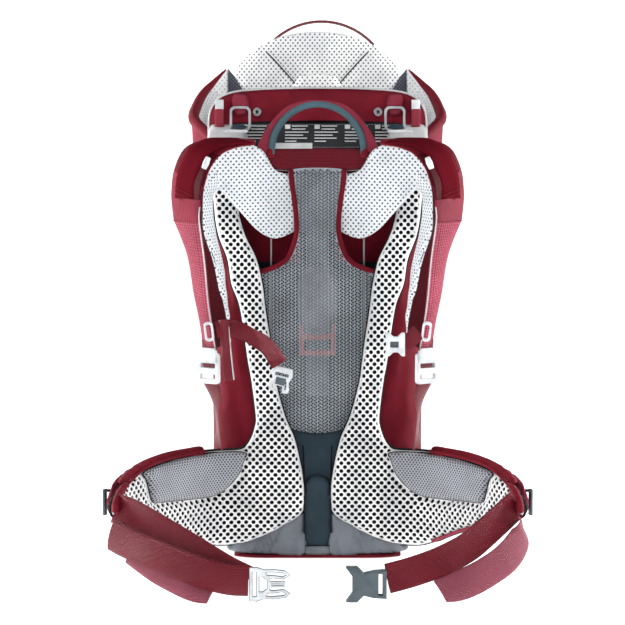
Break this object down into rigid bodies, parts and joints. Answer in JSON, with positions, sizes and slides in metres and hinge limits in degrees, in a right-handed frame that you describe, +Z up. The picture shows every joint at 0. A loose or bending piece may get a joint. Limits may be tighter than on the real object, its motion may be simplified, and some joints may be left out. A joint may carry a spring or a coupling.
{
  "type": "child carrier backpack",
  "caption": "Framed child carrier worn on the back, with a padded cockpit, mesh back pads, hip belt, shoulder straps and a folding kickstand.",
  "frame": {"origin": "centre of the overall box on the ground under the base", "axes": "+Z up, -Y towards the wearer, +Y towards the child, +X to the right seen from the wearer's side"},
  "size_m": [0.5484, 0.586, 0.722],
  "materials": {
    "aluminium_tube": "brushed satin",
    "red_pack_cloth": "coated woven cloth",
    "red_side_cloth": "textured woven cloth with a light sheen",
    "red_webbing": "tight ribbed webbing",
    "white_spacer_mesh": "knitted spacer mesh",
    "white_dot_cloth": "perforated soft cloth",
    "satin_lining": "satin lining cloth",
    "slate_cloth": "tight woven cloth",
    "net_grey": "open lattice net",
    "light_plastic": "fine satin moulding",
    "dark_plastic": "fine satin moulding",
    "clear_plastic": "smoky clear moulding",
    "black_rubber": "ribbed rubber",
    "coral_webbing": "woven webbing",
    "red_button": "moulded gloss",
    "label_black": "smooth printed satin, blank",
    "screw_steel": "satin"
  },
  "bodies": {
    "pack": {"frame_hoop": "aluminium_tube", "frame_rail_left": "aluminium_tube", "frame_rail_right": "aluminium_tube", "back_stays": "aluminium_tube", "slide_rail": "dark_plastic", "base_board": "red_pack_cloth", "bag_body": "red_pack_cloth", "back_panel": "red_pack_cloth", "side_sleeve_left": "red_pack_cloth", "side_sleeve_right": "red_pack_cloth", "cockpit_side_left": "red_side_cloth", "cockpit_side_right": "red_side_cloth", "cockpit_rear": "red_pack_cloth", "rear_pocket": "red_side_cloth", "headrest": "white_dot_cloth", "chin_pad": "white_dot_cloth", "front_panel": "red_pack_cloth", "label_patch": "label_black", "rear_handle": "red_webbing", "rings": "light_plastic", "ring_tabs": "red_webbing", "frame_screws": "screw_steel", "canopy_sockets": "light_plastic", "seat_strap": "red_webbing", "harness_straps": "slate_cloth", "harness_buckle": "dark_plastic", "stirrup_straps": "red_webbing", "back_net": "net_grey", "lumbar_panel": "slate_cloth", "lumbar_base": "satin_lining", "back_pad_left": "white_spacer_mesh", "back_pad_right": "white_spacer_mesh", "load_lifters": "slate_cloth", "lower_webbing_left": "red_webbing", "lower_webbing_right": "red_webbing"},
    "kickstand": {"kickstand": "aluminium_tube", "kickstand_pins": "screw_steel", "foot_grips": "black_rubber"},
    "handle": {"grab_handle": "slate_cloth"},
    "seat": {"seat_saddle": "slate_cloth"},
    "button": {"harness_button": "red_button"},
    "stirrup_left": {"stirrup_left": "red_webbing"},
    "stirrup_right": {"stirrup_right": "red_webbing"},
    "hip_left": {"hip_fin_left": "white_spacer_mesh", "hip_pocket_left": "red_side_cloth", "waist_webbing_left": "red_webbing", "waist_buckle_tongue": "clear_plastic"},
    "hip_right": {"hip_fin_right": "white_spacer_mesh", "hip_pocket_right": "red_side_cloth", "waist_webbing_right": "red_webbing", "waist_buckle_socket": "dark_plastic"},
    "zip_left": {"zip_pull_left": "dark_plastic"},
    "zip_right": {"zip_pull_right": "dark_plastic"},
    "straps": {"yoke": "dark_plastic", "pull_tab": "coral_webbing", "shoulder_strap_left": "red_webbing", "shoulder_strap_right": "red_webbing", "strap_buckles": "light_plastic"},
    "chest_left": {"sternum_strap_left": "red_webbing"},
    "chest_right": {"sternum_strap_right": "red_webbing"}
  },
  "joints": [
    {"name": "kickstand_fold", "type": "hinge", "parent": "pack", "child": "kickstand", "pos_m": [0, 0.162, 0.23], "axis": [1, 0, 0], "range_deg": [-56, 0]},
    {"name": "handle_fold", "type": "hinge", "parent": "pack", "child": "handle", "pos_m": [0, -0.03, 0.54], "axis": [1, 0, 0], "range_deg": [0, 40]},
    {"name": "seat_height", "type": "slide", "parent": "pack", "child": "seat", "axis": [0, 0, 1], "range_m": [0, 0.03], "deforming": ["seat_strap"]},
    {"name": "harness_button_press", "type": "slide", "parent": "pack", "child": "button", "axis": [0, 0.9397, -0.342], "range_m": [0, 0.0025], "stiffness_N_per_m": 400, "springref_m": -0.001},
    {"name": "stirrup_left_height", "type": "slide", "parent": "pack", "child": "stirrup_left", "axis": [0, 0, 1], "range_m": [-0.03, 0.03]},
    {"name": "stirrup_right_height", "type": "slide", "parent": "pack", "child": "stirrup_right", "axis": [0, 0, 1], "range_m": [-0.03, 0.03]},
    {"name": "hip_left_wrap", "type": "hinge", "parent": "pack", "child": "hip_left", "pos_m": [-0.126, -0.044, 0.085], "axis": [0, 0, 1], "range_deg": [-8, 15]},
    {"name": "hip_right_wrap", "type": "hinge", "parent": "pack", "child": "hip_right", "pos_m": [0.126, -0.044, 0.085], "axis": [0, 0, 1], "range_deg": [-15, 8]},
    {"name": "zip_left_swing", "type": "hinge", "parent": "hip_left", "child": "zip_left", "pos_m": [-0.2708, -0.175, 0.119], "axis": [0.3486, 0.9373, 0], "range_deg": [0, 100]},
    {"name": "zip_right_swing", "type": "hinge", "parent": "hip_right", "child": "zip_right", "pos_m": [0.2708, -0.175, 0.119], "axis": [0.3486, -0.9373, 0], "range_deg": [0, 100]},
    {"name": "back_length", "type": "slide", "parent": "pack", "child": "straps", "axis": [0, 0, 1], "range_m": [-0.03, 0], "deforming": ["lower_webbing_left", "lower_webbing_right", "load_lifters"]},
    {"name": "chest_left_height", "type": "slide", "parent": "straps", "child": "chest_left", "axis": [-0.1086, -0.1685, 0.9797], "range_m": [-0.012, 0.02]},
    {"name": "chest_right_height", "type": "slide", "parent": "straps", "child": "chest_right", "axis": [0.1086, -0.1685, 0.9797], "range_m": [-0.012, 0.02]}
  ]
}
